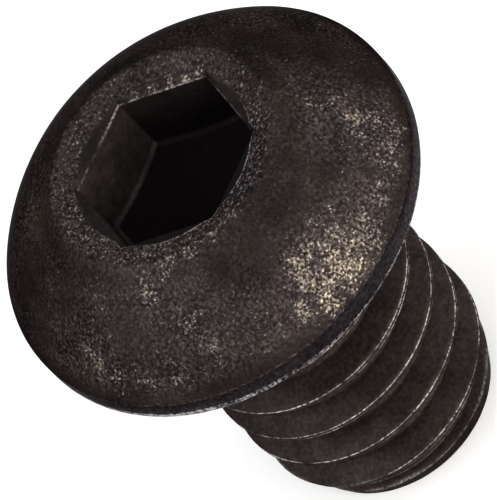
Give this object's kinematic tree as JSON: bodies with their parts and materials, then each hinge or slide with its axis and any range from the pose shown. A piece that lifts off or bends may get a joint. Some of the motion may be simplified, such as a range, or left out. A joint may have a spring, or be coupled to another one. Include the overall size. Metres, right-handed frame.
{
  "type": "button-head socket screw",
  "caption": "Short button-head screw of blackened steel with a hexagon socket in its domed head and a right-hand coarse thread up to the neck.",
  "frame": {"origin": "centre of the flat bearing face under the head", "axes": "+Z along the screw's axis from the bearing face to the top of the head, the shank on -Z, +X through a corner of the hexagon socket"},
  "size_m": [0.0108, 0.0108, 0.0121],
  "materials": {
    "black_steel": "black oxide over a fine forged and rolled surface, satin, with thin bright wear on edges"
  },
  "bodies": {
    "root": {"screw": "black_steel"}
  },
  "joints": []
}
